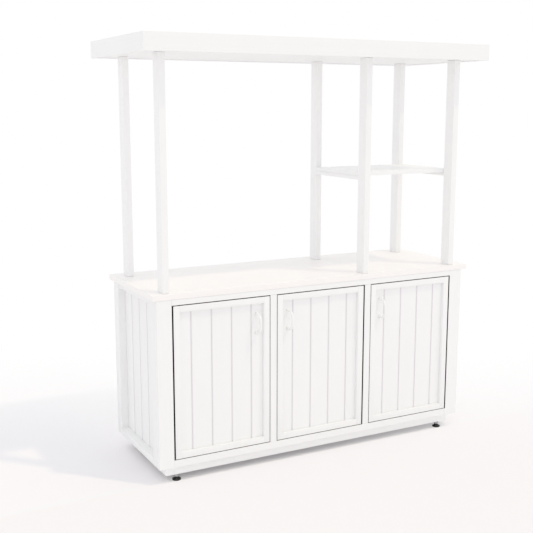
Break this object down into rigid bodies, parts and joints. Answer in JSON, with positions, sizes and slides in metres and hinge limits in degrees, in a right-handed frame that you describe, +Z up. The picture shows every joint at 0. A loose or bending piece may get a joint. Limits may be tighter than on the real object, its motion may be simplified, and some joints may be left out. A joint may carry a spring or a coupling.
{
  "type": "host stand",
  "caption": "White timber host stand: a cabinet with V-grooved doors under a worktop, posts that carry a flat roof, and a display shelf in the right bay.",
  "frame": {"origin": "on the floor under the middle of the stand, half way across the canopy's width and depth", "axes": "+Z up, +X towards the bay with the display shelf, -Y towards whoever faces the doors"},
  "size_m": [1.907, 0.7488, 2.0962],
  "materials": {
    "painted_timber": "satin white paint on timber",
    "worktop_lacquer": "warm white lacquer on a board, semi-gloss",
    "coated_zinc": "white powder coat on cast zinc",
    "plated_steel": "zinc plated",
    "black_plastic": "moulded, matt"
  },
  "bodies": {
    "cabinet": {"plinth_front": "painted_timber", "plinth_back": "painted_timber", "plinth_left": "painted_timber", "plinth_right": "painted_timber", "base_panel": "painted_timber", "left_side_frame": "painted_timber", "left_side_boards": "painted_timber", "right_side_frame": "painted_timber", "right_side_boards": "painted_timber", "back_frame": "painted_timber", "back_boards": "painted_timber", "left_partition": "painted_timber", "right_partition": "painted_timber", "left_bay_shelf": "painted_timber", "middle_bay_shelf": "painted_timber", "right_bay_shelf": "painted_timber", "face_left_stile": "painted_timber", "face_right_stile": "painted_timber", "face_left_mullion": "painted_timber", "face_right_mullion": "painted_timber", "face_top_rail": "painted_timber", "face_bottom_rail": "painted_timber", "worktop": "worktop_lacquer", "front_left_post": "painted_timber", "front_middle_post": "painted_timber", "front_right_post": "painted_timber", "back_left_post": "painted_timber", "back_middle_post": "painted_timber", "back_right_post": "painted_timber", "display_shelf": "painted_timber", "display_shelf_left_bearer": "painted_timber", "display_shelf_right_bearer": "painted_timber", "canopy_front_fascia": "painted_timber", "canopy_back_fascia": "painted_timber", "canopy_left_fascia": "painted_timber", "canopy_right_fascia": "painted_timber", "canopy_deck": "painted_timber", "canopy_soffit": "painted_timber", "left_door_upper_pivot": "plated_steel", "left_door_lower_pivot": "plated_steel", "left_door_catch": "black_plastic", "middle_door_upper_pivot": "plated_steel", "middle_door_lower_pivot": "plated_steel", "middle_door_catch": "black_plastic", "right_door_upper_pivot": "plated_steel", "right_door_lower_pivot": "plated_steel", "right_door_catch": "black_plastic"},
    "left_door": {"left_door_frame": "painted_timber", "left_door_boards": "painted_timber", "left_door_handle": "coated_zinc"},
    "middle_door": {"middle_door_frame": "painted_timber", "middle_door_boards": "painted_timber", "middle_door_handle": "coated_zinc"},
    "right_door": {"right_door_frame": "painted_timber", "right_door_boards": "painted_timber", "right_door_handle": "coated_zinc"},
    "front_left_foot": {"front_left_foot": "black_plastic"},
    "front_right_foot": {"front_right_foot": "black_plastic"},
    "back_left_foot": {"back_left_foot": "black_plastic"},
    "back_right_foot": {"back_right_foot": "black_plastic"}
  },
  "joints": [
    {"name": "left_door_hinge", "type": "hinge", "parent": "cabinet", "child": "left_door", "pos_m": [-0.7898, -0.28025, 0.4918], "axis": [0, 0, -1], "range_deg": [0, 110]},
    {"name": "middle_door_hinge", "type": "hinge", "parent": "cabinet", "child": "middle_door", "pos_m": [0.23527, -0.28025, 0.4918], "axis": [0, 0, 1], "range_deg": [0, 110]},
    {"name": "right_door_hinge", "type": "hinge", "parent": "cabinet", "child": "right_door", "pos_m": [0.7898, -0.28025, 0.4918], "axis": [0, 0, 1], "range_deg": [0, 110]},
    {"name": "front_left_foot_turn", "type": "hinge", "parent": "cabinet", "child": "front_left_foot", "pos_m": [-0.788, -0.24925, 0], "axis": [0, 0, 1], "continuous": true},
    {"name": "front_right_foot_turn", "type": "hinge", "parent": "cabinet", "child": "front_right_foot", "pos_m": [0.788, -0.24925, 0], "axis": [0, 0, 1], "continuous": true},
    {"name": "back_left_foot_turn", "type": "hinge", "parent": "cabinet", "child": "back_left_foot", "pos_m": [-0.788, 0.27175, 0], "axis": [0, 0, 1], "continuous": true},
    {"name": "back_right_foot_turn", "type": "hinge", "parent": "cabinet", "child": "back_right_foot", "pos_m": [0.788, 0.27175, 0], "axis": [0, 0, 1], "continuous": true}
  ]
}
